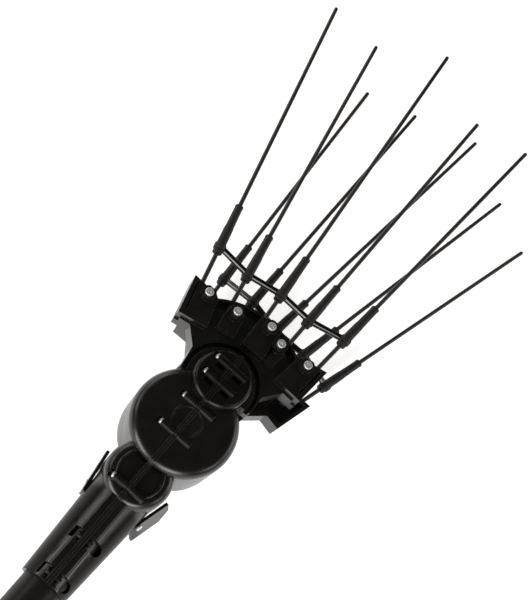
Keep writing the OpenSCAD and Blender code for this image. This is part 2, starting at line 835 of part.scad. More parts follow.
module con_rod(side) {
    foot = rod_base(side);
    span = rod_tip(side) - foot;
    color(dull_aluminium) translate(foot) translate([0, 0, side > 0 ? rod_low : -rod_high])
        rotate(atan2(span[1], span[0])) linear_extrude(rod_t) difference() {
            union() {
                circle(strap_bore + strap_wall);
                translate([0, -rod_w / 2]) square([norm(span), rod_w]);
                translate([norm(span), 0]) circle(small_end_r);
            }
            circle(strap_bore);
            translate([norm(span), 0]) circle(drive_pin_r + run);
        }
}

module motor_bell() {
    h = bell_top - bell_low;
    color(dull_aluminium) at(motor_x) translate([0, 0, bell_low]) difference() {
        cylinder(r = bell_r, h = h);
        translate([0, 0, -over]) cylinder(r = bell_in, h = h - bell_wall + over);
        cylinder(r = motor_shaft_r + fit, h = h + over);
    }
}

module motor_magnets() {
    color(steel) at(motor_x) translate([0, 0, stator_low])
        ring(bell_in - fit, magnet_in, stator_high - stator_low);
}

module motor_shaft() {
    color(steel) translate([motor_x, 0, play - motor_room_low])
        cylinder(r = motor_shaft_r, h = motor_room_low + gear_t / 2);
}

// Puts a comb's piece in place: the lower comb is the same part turned over
module on_comb(side) {
    at(pivot_x) rotate(side * rest_swing) rotate([side > 0 ? 0 : 180, 0, 0]) children();
}

// Puts a piece on tine i, with X along the tine and the tie strip at X = 0
module on_tine(i) {
    translate(ring_at(i)) rotate([0, -tine_rise[kind(i)], ring_side(i) * tine_fan[kind(i)]]) children();
}

module comb_plate() {
    half = shared_all(wing_shares);
    whole = concat(half, [shared(arm_share), flip(shared(arm_share))],
                   [for (k = [len(half) - 1 : -1 : 0]) flip(half[k])]);
    polygon(whole);
    circle(hub_r);
    intersection() {
        circle(front_r, $fn = 128);
        translate([half[0][0] - over, -wing_half]) square([front_r, 2 * wing_half]);
    }
}

// Raised piece of the comb, which fills the front trough where it stands
module on_base(h) {
    translate([0, 0, base_top - trough_deep]) linear_extrude(trough_deep + h) children();
}

module comb_form() {
    difference() {
        translate([0, 0, comb_in]) linear_extrude(base_t) comb_plate();
        translate([0, 0, base_top - trough_deep])
            ring(front_r - rim_w, front_r - rim_w - trough_w, trough_deep + over);
    }
    on_base(block_h) {
        polygon(shared_all(outer_block_shares));
        mirror([0, 1]) polygon(shared_all(outer_block_shares));
        polygon(shared_all(middle_block_shares));
    }
    on_base(pad_h) {
        polygon(shared_all(inner_pad_shares));
        polygon(shared_all(other_pad_shares));
    }
    on_base(cap_boss_h) intersection() {
        for (p = comb_screw_places) translate(p[0]) circle(cap_boss_r);
        comb_plate();
    }
}

module comb(side) {
    color(black) on_comb(side) difference() {
        comb_form();
        translate([0, 0, base_top - groove_deep]) ring(groove_out, groove_in, groove_deep + over);
        for (flipped = [0, 1]) mirror([0, flipped, 0]) {
            translate([0, 0, block_top - end_slot_deep])
                linear_extrude(end_slot_deep + over) polygon(shared_all(end_slot_shares));
            translate([0, 0, comb_in - over])
                linear_extrude(hollow_deep + over) polygon(shared_all(outer_hollow_shares));
        }
        for (i = [1 : 5]) on_tine(i) at(-tine_root - fit) along_x()
            cylinder(r = tine_r + fit, h = tine_root);
        for (p = comb_screw_places) translate([p[0][0], p[0][1], 0]) {
            translate([0, 0, comb_in - over]) cylinder(r = cap_r + fit, h = cap_boss_top);
            translate([0, 0, cap_seat_z]) cylinder(r = cap_head_r + play, h = cap_seat + over);
            translate([0, 0, comb_in - over]) cylinder(r = wrench_r, h = p[1] + cap_nut_h - comb_in + over);
        }
        translate([0, 0, comb_in - over]) cylinder(r = pivot_r + bush_wall + fit, h = base_t + 2 * over);
        translate([-drive_pin_back, drive_pin_side, comb_in - over])
            cylinder(r = drive_pin_r + fit, h = base_t);
    }
}

module bush(side) {
    color(bronze) on_comb(side) translate([0, 0, comb_in]) ring(pivot_r + bush_wall, pivot_r + run, base_t);
}

// Ends just short of the connecting rod's eye, where the linkage is open
module drive_pin(side) {
    color(steel) on_comb(side) translate([-drive_pin_back, drive_pin_side, rod_high + play])
        cylinder(r = drive_pin_r, h = base_top - over - rod_high - play);
}

module tine(side, i) {
    color(carbon) on_comb(side) on_tine(i) at(-tine_root) along_x() {
        cylinder(r = tine_r, h = tine_root + tine_reach[kind(i)] - tine_r / 2);
        translate([0, 0, tine_root + tine_reach[kind(i)] - tine_r / 2])
            cylinder(r1 = tine_r, r2 = tine_r / 2, h = tine_r / 2, $fn = 32);
    }
}

// Outside of a sleeve, grown for the tie strip's seat
module sleeve_form(grow) {
    at(-eye_len / 2 - flange_t - grow) along_x() cylinder(r = flange_r + grow, h = flange_t);
    at(-eye_len / 2 - over) along_x() cylinder(r = neck_r + grow, h = eye_len + 2 * over);
    at(eye_len / 2 + run - grow) along_x() cylinder(r = sleeve_r + grow, h = sleeve_len);
    at(eye_len / 2 + sleeve_len) along_x() cylinder(r = sleeve_tip_r + grow, h = sleeve_tip_len);
}

module sleeve(side, i) {
    color(soft_black) on_comb(side) on_tine(i) difference() {
        sleeve_form(0);
        at(-eye_len - flange_t) along_x()
            cylinder(r = tine_r + fit, h = 2 * (eye_len + flange_t) + sleeve_len + sleeve_tip_len);
    }
}

module strip_bar(from, to) {
    span = to - from;
    translate(from) rotate([0, acos(span[2] / norm(span)), atan2(span[1], span[0])])
        linear_extrude(norm(span)) square([bar_h, bar_w], center = true);
}

module tie_strip(side) {
    color(black) on_comb(side) difference() {
        union() {
            for (i = [1 : 5]) on_tine(i) at(-eye_len / 2) along_x() cylinder(r = eye_r, h = eye_len - run);
            for (i = [1 : 4]) strip_bar(ring_at(i), ring_at(i + 1));
        }
        for (i = [1 : 5]) on_tine(i) sleeve_form(run);
    }
}

module comb_screws(side) {
    color(zinc) on_comb(side) for (p = comb_screw_places) translate([p[0][0], p[0][1], 0]) {
        translate([0, 0, p[1]]) cylinder(r = cap_r, h = cap_seat_z - p[1]);
        translate([0, 0, cap_seat_z]) difference() {
            cylinder(r = cap_head_r, h = cap_head_h);
            translate([0, 0, cap_head_h / 2]) hex(2 * cap_key_r * cos(30), cap_head_h);
        }
    }
}

module comb_nuts(side) {
    color(zinc) on_comb(side) for (p = comb_screw_places) translate([p[0][0], p[0][1], p[1]])
        difference() {
            hex(cap_nut_flats, cap_nut_h);
            translate([0, 0, -over]) cylinder(r = cap_r + fit, h = cap_nut_h + 2 * over);
        }
}

left_shell();
right_shell();
shell_screws();
hook(1);  // left_hook
hook(-1);  // right_hook
hook_screws();
clamp_bolts();
clamp_nuts();
pole();
cable_grommet();
pivot_shaft();
thrust_washers();
crank_bearings();
motor_mount();
motor_stator();
motor_screws();
crankshaft();
drive_gear();
con_rod(1);  // upper_con_rod
con_rod(-1);  // lower_con_rod
motor_bell();
motor_magnets();
motor_shaft();
motor_pinion();
for (side = [1, -1]) {
    name = side > 0 ? "upper_" : "lower_";
    comb(side);
    bush(side);
    drive_pin(side);
    tie_strip(side);
    comb_screws(side);
    comb_nuts(side);
    for (i = [1 : 5]) {
        tine(side, i);
        sleeve(side, i);
    }
}
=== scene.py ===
"""Looks of an electric olive harvester head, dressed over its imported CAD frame.

Every length is in metres, in the frame's own axes: X along the pole towards the tines,
Y to the left and Z up through the comb pivot.
"""

import json
import logging
import math
from dataclasses import dataclass, field
from enum import Enum

import bmesh
import bpy
import numpy as np
from mathutils import Euler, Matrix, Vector


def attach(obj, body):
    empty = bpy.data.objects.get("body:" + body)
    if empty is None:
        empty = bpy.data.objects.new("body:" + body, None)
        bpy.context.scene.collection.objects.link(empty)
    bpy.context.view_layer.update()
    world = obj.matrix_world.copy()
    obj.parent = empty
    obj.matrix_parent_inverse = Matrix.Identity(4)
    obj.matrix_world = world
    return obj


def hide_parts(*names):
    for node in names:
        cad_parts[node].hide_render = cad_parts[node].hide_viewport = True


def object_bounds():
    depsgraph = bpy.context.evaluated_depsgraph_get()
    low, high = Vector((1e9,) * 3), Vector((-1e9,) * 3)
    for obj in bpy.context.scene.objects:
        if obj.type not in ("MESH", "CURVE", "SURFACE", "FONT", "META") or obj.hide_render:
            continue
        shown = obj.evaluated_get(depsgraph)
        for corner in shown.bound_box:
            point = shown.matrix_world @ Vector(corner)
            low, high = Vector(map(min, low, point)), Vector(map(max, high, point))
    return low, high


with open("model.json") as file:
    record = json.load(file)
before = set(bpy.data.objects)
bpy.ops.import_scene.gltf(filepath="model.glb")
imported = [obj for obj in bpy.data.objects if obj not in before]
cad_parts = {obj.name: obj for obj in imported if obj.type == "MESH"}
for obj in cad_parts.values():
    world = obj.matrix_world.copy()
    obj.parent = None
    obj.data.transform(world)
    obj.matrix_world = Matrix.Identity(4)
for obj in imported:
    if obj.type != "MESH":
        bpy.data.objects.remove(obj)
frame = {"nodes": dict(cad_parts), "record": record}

CAD_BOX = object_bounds()
LOG = logging.getLogger("harvester")
MM = 0.001
FORWARD = np.array([1.0, 0.0, 0.0])
LEFT = np.array([0.0, 1.0, 0.0])
UP = np.array([0.0, 0.0, 1.0])
# Noise levels between which a finish goes from its dark tint to its pale one
NOISE_LOW, NOISE_HIGH = 0.3, 0.7
# Radius that closes a turned profile on its axis
AXIS_R = 1e-6
# Distance within which two points count as one, and the decimals that it stands for
SAME, DECIMALS = 1e-7, 7
# Depth within which corners count as lying on a solid's end face
END_DEPTH = 1e-5


class Side(Enum):
    """Which of the two combs a piece belongs to."""

    UPPER = "upper"
    LOWER = "lower"

    @property
    def body(self) -> str:
        """The comb's body in the frame."""
        return f"{self.value}_comb"

    @property
    def outward(self) -> float:
        """Sign of Z on the comb's outer face."""
        return 1.0 if self is Side.UPPER else -1.0


class NodeTree:
    """A material's node tree, with short calls to add and join nodes."""

    def __init__(self, name: str) -> None:
        """Starts a material that holds only its shader and output.

        Args:
            name: the material's name.
        """
        self.material = bpy.data.materials.new(name)
        self.material.use_nodes = True
        self.nodes = self.material.node_tree.nodes
        self.links = self.material.node_tree.links
        self.shader = self.nodes["Principled BSDF"]

    def add(self, kind: str, **values: object) -> bpy.types.Node:
        """Adds a node.

        Args:
            kind: the node's type name.
            values: its properties, or its input sockets where no property has that name.

        Returns:
            The new node.
        """
        node = self.nodes.new(kind)
        for key, value in values.items():
            if hasattr(node, key):
                setattr(node, key, value)
            else:
                node.inputs[key.replace("_", " ")].default_value = value
        return node

    def join(self, source: bpy.types.NodeSocket, target: bpy.types.NodeSocket) -> None:
        """Links two sockets."""
        self.links.new(source, target)

    def object_coords(self, stretch: tuple[float, float, float] = (1, 1, 1)) -> bpy.types.NodeSocket:
        """Object coordinates, scaled along each axis.

        Args:
            stretch: scale of the coordinates along X, Y and Z.

        Returns:
            The mapped vector.
        """
        coords = self.add("ShaderNodeTexCoord")
        mapping = self.add("ShaderNodeMapping", Scale=stretch)
        self.join(coords.outputs["Object"], mapping.inputs["Vector"])
        return mapping.outputs["Vector"]

    def noise(self, vector: bpy.types.NodeSocket, scale: float,
              detail: float = 4.0) -> bpy.types.NodeSocket:
        """Noise of a scale in features per metre.

        Args:
            vector: where the noise is read.
            scale: features per metre.
            detail: octaves of the noise.

        Returns:
            The noise's value.
        """
        node = self.add("ShaderNodeTexNoise", Scale=scale, Detail=detail)
        self.join(vector, node.inputs["Vector"])
        return node.outputs["Fac"]

    def spread(self, value: bpy.types.NodeSocket, low: float, high: float) -> bpy.types.NodeSocket:
        """Maps noise about its middle to a range.

        Args:
            value: noise from 0 to 1.
            low: result where the noise is low.
            high: result where the noise is high.

        Returns:
            The mapped value.
        """
        node = self.add("ShaderNodeMapRange", From_Min=NOISE_LOW, From_Max=NOISE_HIGH, To_Min=low,
                        To_Max=high)
        self.join(value, node.inputs["Value"])
        return node.outputs["Result"]

    def tint(self, value: bpy.types.NodeSocket, low: tuple[float, ...], high: tuple[float, ...]) -> None:
        """Colours the shader between two tints.

        Args:
            value: noise from 0 to 1.
            low: tint where the noise is low.
            high: tint where the noise is high.
        """
        ramp = self.add("ShaderNodeValToRGB")
        for element, colour, place in zip(ramp.color_ramp.elements, (low, high), (NOISE_LOW, NOISE_HIGH)):
            element.color = (*colour, 1)
            element.position = place
        self.join(value, ramp.inputs["Fac"])
        self.join(ramp.outputs["Color"], self.shader.inputs["Base Color"])

    def fade(self, value: bpy.types.NodeSocket, start: float, end: float, low: float = 0.0,
             high: float = 1.0) -> bpy.types.NodeSocket:
        """Steps smoothly from low to high as a value goes from start to end.

        Args:
            value: the value.
            start: where the step starts.
            end: where the step ends.
            low: result before the step.
            high: result after the step.

        Returns:
            The step's result.
        """
        node = self.add("ShaderNodeMapRange", interpolation_type="SMOOTHSTEP", From_Min=start, From_Max=end,
                        To_Min=low, To_Max=high)
        self.join(value, node.inputs["Value"])
        return node.outputs["Result"]

    def bump(self, height: bpy.types.NodeSocket, depth: float, edge: float = 0.0, samples: int = 6) -> None:
        """Gives the shader a bump, over normals that turn smoothly round the edges.

        Args:
            height: the bump's height, from 0 to 1.
            depth: depth of the bump in metres.
            edge: radius over which the edges look rounded, in metres.
            samples: rays that look for an edge nearby.
        """
        node = self.add("ShaderNodeBump", Distance=depth, Strength=1.0)
        self.join(height, node.inputs["Height"])
        if edge:
            rounding = self.add("ShaderNodeBevel", samples=samples, Radius=edge)
            self.join(rounding.outputs["Normal"], node.inputs["Normal"])
        self.join(node.outputs["Normal"], self.shader.inputs["Normal"])


@dataclass(frozen=True)
class Finish:
    """A surface with two tints, a range of roughness and a fine bump.

    The tints and the roughness follow noise of the grain's size, and the bump noise a few
    times finer. Stretch draws the grain out along the axes with a small value, and edge is the
    radius of moulded or broken edges.
    """

    name: str
    dark: tuple[float, float, float]
    pale: tuple[float, float, float]
    rough: tuple[float, float]
    metallic: float = 0.0
    ior: float = 1.5
    coat: float = 0.0
    coat_rough: float = 0.12
    grain: float = 60.0
    tooth: float = 900.0
    tooth_detail: float = 2.0
    tooth_depth: float = 0.00002
    edge: float = 0.0
    stretch: tuple[float, float, float] = (1, 1, 1)

    def material(self) -> bpy.types.Material:
        """Makes the material.

        Returns:
            The material.
        """
        tree = NodeTree(self.name)
        coords = tree.object_coords(self.stretch)
        clouds = tree.noise(coords, self.grain)
        tree.tint(clouds, self.dark, self.pale)
        tree.join(tree.spread(clouds, *self.rough), tree.shader.inputs["Roughness"])
        tree.bump(tree.noise(coords, self.tooth, self.tooth_detail), self.tooth_depth, self.edge)
        tree.shader.inputs["Metallic"].default_value = self.metallic
        tree.shader.inputs["IOR"].default_value = self.ior
        if self.coat:
            tree.shader.inputs["Coat Weight"].default_value = self.coat
            tree.shader.inputs["Coat Roughness"].default_value = self.coat_rough
        self.shine_zones(tree)
        return tree.material

    def shine_zones(self, tree: NodeTree) -> None:
        """Hook that paints shade by changing the shine from place to place, in finishes that have such
        zones.
        """


@dataclass(frozen=True)
class ShellFinishAndPaintedShade(Finish):
    """The housing's plastic, with painted shade on the socket's sides and on the nose, where its shine is
    lowered.
    """

    shine: float = 0.5
    side_shine: float = 0.1
    side_from: float = 10 * MM
    side_to: float = 20 * MM
    socket_from: float = 0.180
    socket_to: float = 0.166
    nose_shine: float = 0.22
    nose_at: tuple[float, float, float] = (0.317, 0, 0)
    nose_from: float = 31 * MM
    nose_to: float = 29.5 * MM

    def shine_zones(self, tree: NodeTree) -> None:
        """Paints shade on the socket's sides and the nose by taking shine off them.

        The specular level falls with the distance from the middle plane behind the motor lobe,
        and within the nose's radius of the pivot axis.

        Args:
            tree: the material's tree.
        """
        split = tree.add("ShaderNodeSeparateXYZ")
        tree.join(tree.object_coords(), split.inputs[0])
        off = tree.add("ShaderNodeMath", operation="ABSOLUTE")
        tree.join(split.outputs["Y"], off.inputs[0])
        side = tree.fade(off.outputs[0], self.side_from, self.side_to)
        behind = tree.fade(split.outputs["X"], self.socket_from, self.socket_to)
        both = tree.add("ShaderNodeMath", operation="MULTIPLY")
        tree.join(side, both.inputs[0])
        tree.join(behind, both.inputs[1])
        reach = tree.add("ShaderNodeVectorMath", operation="DISTANCE")
        tree.join(tree.object_coords((1, 1, 0)), reach.inputs[0])
        reach.inputs[1].default_value = self.nose_at
        # Painted shade: a lower specular level darkens the socket's sides and damps the reflection on the
        # nose's rim.
        socket = tree.fade(both.outputs[0], 0, 1, self.shine, self.side_shine)
        nose = tree.fade(reach.outputs["Value"], self.nose_to, self.nose_from, self.nose_shine, self.shine)
        level = tree.add("ShaderNodeMath", operation="MINIMUM")
        tree.join(socket, level.inputs[0])
        tree.join(nose, level.inputs[1])
        tree.join(level.outputs[0], tree.shader.inputs["Specular IOR Level"])


@dataclass(frozen=True)
class Palette:
    """The finishes of the harvester, by the record's material slots."""

    shell_plastic: Finish = ShellFinishAndPaintedShade(
        "shell_plastic", (0.0034, 0.0031, 0.0026), (0.0050, 0.0046, 0.0039), (0.25, 0.32), ior=1.6,
        tooth=1600, tooth_depth=0.000006, edge=0.6 * MM)
    comb_plastic: Finish = Finish("comb_plastic", (0.0034, 0.0031, 0.0025), (0.0052, 0.0047, 0.0038),
                                  (0.25, 0.33), ior=1.6, tooth=1400, tooth_depth=0.000007, edge=0.5 * MM)
    strip_plastic: Finish = Finish("strip_plastic", (0.0050, 0.0044, 0.0039), (0.0072, 0.0064, 0.0057),
                                   (0.14, 0.20), ior=1.65, tooth=500, tooth_depth=0.000006)
    tine_rod: Finish = Finish("tine_rod", (0.014, 0.0108, 0.0096), (0.021, 0.0165, 0.0148), (0.34, 0.46),
                              grain=40, tooth=700, tooth_depth=0.000012, stretch=(0.05, 1, 1))
    soft_rubber: Finish = Finish("soft_rubber", (0.0070, 0.0058, 0.0052), (0.0102, 0.0087, 0.0079),
                                 (0.55, 0.66), grain=120, tooth=1500, tooth_depth=0.000015)
    pole_tube: Finish = Finish("pole_tube", (0.0060, 0.0054, 0.0049), (0.0085, 0.0078, 0.0071),
                               (0.34, 0.42), ior=1.33, stretch=(0.08, 1, 1), tooth=800,
                               tooth_depth=0.000006, edge=0.4 * MM)
    zinc_screws: Finish = Finish("zinc_screws", (0.74, 0.75, 0.76), (0.85, 0.86, 0.87), (0.48, 0.58),
                                 metallic=1.0, grain=400, tooth=3000, tooth_depth=0.000005)
    dark_screws: Finish = Finish("dark_screws", (0.045, 0.043, 0.042), (0.065, 0.062, 0.060), (0.38, 0.48),
                                 metallic=1.0, grain=500, tooth=2500, tooth_depth=0.000006)
    steel: Finish = Finish("steel", (0.48, 0.49, 0.51), (0.60, 0.61, 0.63), (0.24, 0.36),
                           metallic=1.0, grain=300, stretch=(1, 1, 0.1))
    bronze: Finish = Finish("bronze", (0.50, 0.33, 0.15), (0.62, 0.43, 0.21), (0.36, 0.5),
                            metallic=1.0, grain=500, tooth=2500)
    cast_aluminium: Finish = Finish("cast_aluminium", (0.50, 0.50, 0.52), (0.62, 0.62, 0.64), (0.42, 0.56),
                                    metallic=1.0, grain=250, tooth=1500, tooth_depth=0.00003)
    windings: Finish = Finish("windings", (0.42, 0.17, 0.07), (0.60, 0.27, 0.12), (0.26, 0.4),
                              metallic=1.0, coat=0.5, grain=900, stretch=(1, 1, 0.2))
    magnet: Finish = Finish("magnet", (0.28, 0.28, 0.30), (0.36, 0.36, 0.38), (0.24, 0.34),
                            metallic=1.0, grain=200)

    def materials(self) -> dict[str, bpy.types.Material]:
        """Makes every material, by slot name."""
        return {name: getattr(self, name).material() for name in self.__dataclass_fields__}


def unit(vector: np.ndarray) -> np.ndarray:
    """The vector at length 1."""
    return vector / np.linalg.norm(vector)


def across(axis: np.ndarray) -> tuple[np.ndarray, np.ndarray]:
    """Two unit vectors at right angles to an axis and to each other.

    Args:
        axis: a unit vector.

    Returns:
        The vectors u and v, with u x v along the axis.
    """
    helper = UP if abs(axis @ UP) < abs(axis @ FORWARD) + abs(axis @ LEFT) else FORWARD
    u = unit(np.cross(helper, axis))
    return u, np.cross(axis, u)


def node_points(node: str) -> np.ndarray:
    """Corners of a CAD node's mesh.

    Args:
        node: the CAD node's name.

    Returns:
        The corners, one row each.
    """
    mesh = frame["nodes"][node].data
    points = np.empty(len(mesh.vertices) * 3)
    mesh.vertices.foreach_get("co", points)
    return points.reshape(-1, 3)


def node_triangles(node: str) -> tuple[np.ndarray, np.ndarray]:
    """A CAD node's mesh with its doubled corners merged.

    Args:
        node: the CAD node's name.

    Returns:
        The corners, and the triangles as rows of three corner numbers.
    """
    mesh = frame["nodes"][node].data
    corners = np.empty(len(mesh.loops), dtype=np.int64)
    mesh.loops.foreach_get("vertex_index", corners)
    points, merged = np.unique(np.round(node_points(node), DECIMALS), axis=0, return_inverse=True)
    triangles = merged.reshape(-1)[corners].reshape(-1, 3)
    a, b, c = triangles.T
    return points, triangles[(a != b) & (b != c) & (a != c)]


def solids(node: str) -> list[np.ndarray]:
    """Corners of the separate solids in one CAD node.

    Each corner takes the lowest label among its triangles until no label changes, so that
    every solid ends with one label.

    Args:
        node: the CAD node's name.

    Returns:
        The corners of each solid, one row each.
    """
    points, triangles = node_triangles(node)
    labels = np.arange(len(points))
    while True:
        lowest = labels[triangles].min(axis=1)
        fresh = labels.copy()
        np.minimum.at(fresh, triangles.ravel(), np.repeat(lowest, 3))
        if np.array_equal(fresh, labels):
            break
        labels = fresh
    return [points[labels == k] for k in np.unique(labels)]


def solid_boxes(node: str) -> list[tuple[np.ndarray, np.ndarray]]:
    """The lowest and highest corner of each solid in a CAD node."""
    return [(points.min(axis=0), points.max(axis=0)) for points in solids(node)]


def long_axis(corners: np.ndarray, towards: np.ndarray) -> tuple[np.ndarray, np.ndarray, float]:
    """Middle line of a long round solid.

    The direction is the first principal axis of the corners.

    Args:
        corners: the solid's corners, one row each.
        towards: a vector that the direction leans to.

    Returns:
        The line's start, its unit direction and its length.
    """
    points = np.unique(np.round(corners, DECIMALS), axis=0)
    low = points.min(axis=0)
    _, _, rows = np.linalg.svd(points - points.mean(axis=0), full_matrices=False)
    axis = rows[0] * np.sign(rows[0] @ towards)
    along = (points - low) @ axis
    rim = points[along < along.min() + END_DEPTH]
    start = (rim.min(axis=0) + rim.max(axis=0)) / 2
    return start, axis, along.max() - along.min()


@dataclass
class Surface:
    """Points and faces gathered for one mesh."""

    points: list[np.ndarray] = field(default_factory=list)
    faces: list[list[int]] = field(default_factory=list)
    finishes: list[int] = field(default_factory=list)
    count: int = 0

    def add_grid(self, grid: np.ndarray, closed_rows: bool = False, finish: int = 0) -> None:
        """Adds a grid of points whose columns close round.

        Args:
            grid: points, as rows by columns by three.
            closed_rows: whether the last row joins the first.
            finish: place of the faces' material among the piece's materials.
        """
        rows, columns = grid.shape[:2]
        index = np.arange(rows * columns).reshape(rows, columns) + self.count
        right = np.roll(index, -1, axis=1)
        below = np.roll(index, -1, axis=0)
        corner = np.roll(right, -1, axis=0)
        quads = np.stack([index, right, corner, below], axis=-1)
        quads = quads if closed_rows else quads[:-1]
        self.points.append(grid.reshape(-1, 3))
        self.faces += quads.reshape(-1, 4).tolist()
        if not closed_rows:
            self.faces.append(index[0][::-1].tolist())
            self.faces.append(index[-1].tolist())
        self.finishes += [finish] * (len(self.faces) - len(self.finishes))
        self.count += rows * columns

    def mesh(self, name: str, sharp: float = 40.0) -> bpy.types.Mesh:
        """Makes the mesh, smooth apart from its sharp edges.

        Args:
            name: the mesh's name.
            sharp: edges that turn by more degrees than this stay sharp.

        Returns:
            The mesh.
        """
        mesh = bpy.data.meshes.new(name)
        mesh.from_pydata(np.concatenate(self.points).tolist(), [], self.faces)
        mesh.polygons.foreach_set("material_index", self.finishes)
        form = bmesh.new()
        form.from_mesh(mesh)
        bmesh.ops.remove_doubles(form, verts=form.verts, dist=SAME)
        bmesh.ops.recalc_face_normals(form, faces=form.faces)
        smooth_by_angle(form, sharp)
        form.to_mesh(mesh)
        form.free()
        return mesh


def smooth_by_angle(form: bmesh.types.BMesh, sharp: float) -> None:
    """Shades a form smooth apart from its sharp edges.

    Args:
        form: the form.
        sharp: edges that turn by more degrees than this stay sharp.
    """
    limit = math.radians(sharp)
    for face in form.faces:
        face.smooth = True
    for edge in form.edges:
        edge.smooth = len(edge.link_faces) == 2 and edge.calc_face_angle(0.0) < limit


def lathe(profile: np.ndarray, start: np.ndarray, axis: np.ndarray, steps: int = 48,
          rim: np.ndarray | None = None, lift: np.ndarray | None = None) -> np.ndarray:
    """Turns a profile about an axis.

    A point is start + (along + lift) * axis + radius * rim * (cos(angle) u + sin(angle) v).

    Args:
        profile: rows of distance along the axis, and radius.
        start: a point on the axis.
        axis: the axis's unit direction.
        steps: points round the axis.
        rim: factors on the radius, as profile rows by steps.
        lift: lengths added along the axis, as profile rows by steps.

    Returns:
        The grid of points.
    """
    u, v = across(axis)
    angle = np.linspace(0, 2 * math.pi, steps, endpoint=False)
    circle = np.cos(angle)[:, None] * u + np.sin(angle)[:, None] * v
    factor = np.ones((len(profile), steps)) if rim is None else rim
    radius = profile[:, 1:2] * factor
    along = profile[:, :1] + (np.zeros((len(profile), steps)) if lift is None else lift)
    return start + along[..., None] * axis + radius[..., None] * circle


def rounded(profile: list[tuple[float, float]], radius: float, steps: int = 5) -> np.ndarray:
    """Rounds the inner corners of a profile.

    Each corner becomes a quadratic curve between points a radius before and after it, or at
    most half of the shorter side.

    Args:
        profile: corners of the profile.
        radius: how far before and after a corner its curve reaches.
        steps: points on each curve.

    Returns:
        The points of the rounded profile.
    """
    corners = np.array(profile, dtype=float)
    before, here, after = corners[:-2], corners[1:-1], corners[2:]
    back, ahead = before - here, after - here
    reach = np.minimum(radius, np.minimum(np.linalg.norm(back, axis=1), np.linalg.norm(ahead, axis=1)) / 2)
    enter = here + back / np.linalg.norm(back, axis=1)[:, None] * reach[:, None]
    leave = here + ahead / np.linalg.norm(ahead, axis=1)[:, None] * reach[:, None]
    t = np.linspace(0, 1, steps)[None, :, None]
    curve = enter[:, None] * (1 - t) ** 2 + here[:, None] * 2 * t * (1 - t) + leave[:, None] * t ** 2
    return np.concatenate([corners[:1], curve.reshape(-1, 2), corners[-1:]])


def sweep(section: np.ndarray, path: np.ndarray, up: np.ndarray) -> np.ndarray:
    """Carries a section along a path.

    A point is path + section_x * side + section_y * top, where side lies across both the path
    and up, and top across the path and side.

    Args:
        section: the section's points, first sideways and then upwards.
        path: points of the path.
        up: direction that the section's top leans to.

    Returns:
        The grid of points.
    """
    run = np.gradient(path, axis=0)
    run /= np.linalg.norm(run, axis=1)[:, None]
    side = np.cross(run, up)
    side /= np.linalg.norm(side, axis=1)[:, None]
    top = np.cross(side, run)
    return path[:, None] + section[None, :, :1] * side[:, None] + section[None, :, 1:] * top[:, None]


@dataclass
class Workshop:
    """Puts finished pieces into the scene."""

    materials: dict[str, bpy.types.Material]
    slots: dict[str, str]

    def place(self, mesh: bpy.types.Mesh, body: str, node: str) -> bpy.types.Object:
        """Makes a piece that stands for a CAD node.

        Args:
            mesh: the piece's mesh, in the frame.
            body: the body that it rides on.
            node: the CAD node that it replaces.

        Returns:
            The piece.
        """
        piece = bpy.data.objects.new(mesh.name, mesh)
        bpy.context.scene.collection.objects.link(piece)
        mesh.materials.append(self.materials[self.slots[node]])
        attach(piece, body)
        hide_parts(node)
        LOG.info("%s: %d faces on %s", piece.name, len(mesh.polygons), body)
        return piece

    def dress(self, node: str) -> None:
        """Gives a CAD node the material of its slot.

        Args:
            node: the CAD node's name.
        """
        mesh = frame["nodes"][node].data
        mesh.materials.clear()
        mesh.materials.append(self.materials[self.slots[node]])
        LOG.info("%s keeps its CAD shape", node)


def hexagon(steps: int) -> np.ndarray:
    """Radius of a hexagon of inner radius 1 at even angles: 1 / cos(angle within a side)."""
    angle = np.linspace(0, 2 * math.pi, steps, endpoint=False)
    return 1 / np.cos(np.mod(angle, math.pi / 3) - math.pi / 6)


@dataclass(frozen=True)
class CapScrew:
    """A cap screw, with its sizes as shares of the head's radius."""

    head_h: float = 1.18
    key: float = 0.5
    key_deep: float = 0.62
    shank: float = 0.588
    edge: float = 0.13
    knurl: float = 0.02
    knurls: int = 32
    steps: int = 96

    def add(self, surface: Surface, foot_point: np.ndarray, axis: np.ndarray, top: float, head_r: float,
            foot: float) -> None:
        """Adds a screw: shank, head with a knurled side, and hexagon socket.

        A head is a turned profile. Its side is rippled by a cosine of the angle, and its socket
        has the radius of a hexagon.

        Args:
            surface: where the points go.
            foot_point: point on the screw's axis from which heights count.
            axis: the screw's direction, towards its head.
            top: height of the head's top.
            head_r: radius of the head.
            foot: height of the shank's end.
        """
        bed, seat = top - head_r * self.key_deep, top - head_r * self.head_h
        key, edge, shank = head_r * self.key, head_r * self.edge, head_r * self.shank
        profile = np.array([(bed, AXIS_R), (bed, key), (top, key), (top, head_r - edge),
                            (top - edge, head_r), (seat, head_r), (seat, shank), (foot, shank),
                            (foot, AXIS_R)])
        angle = np.linspace(0, 2 * math.pi, self.steps, endpoint=False)
        rim = np.ones((len(profile), self.steps))
        rim[1:3] = hexagon(self.steps)
        rim[4:6] = 1 - self.knurl * (1 + np.cos(angle * self.knurls)) / 2
        surface.add_grid(lathe(profile, foot_point, axis, self.steps, rim))


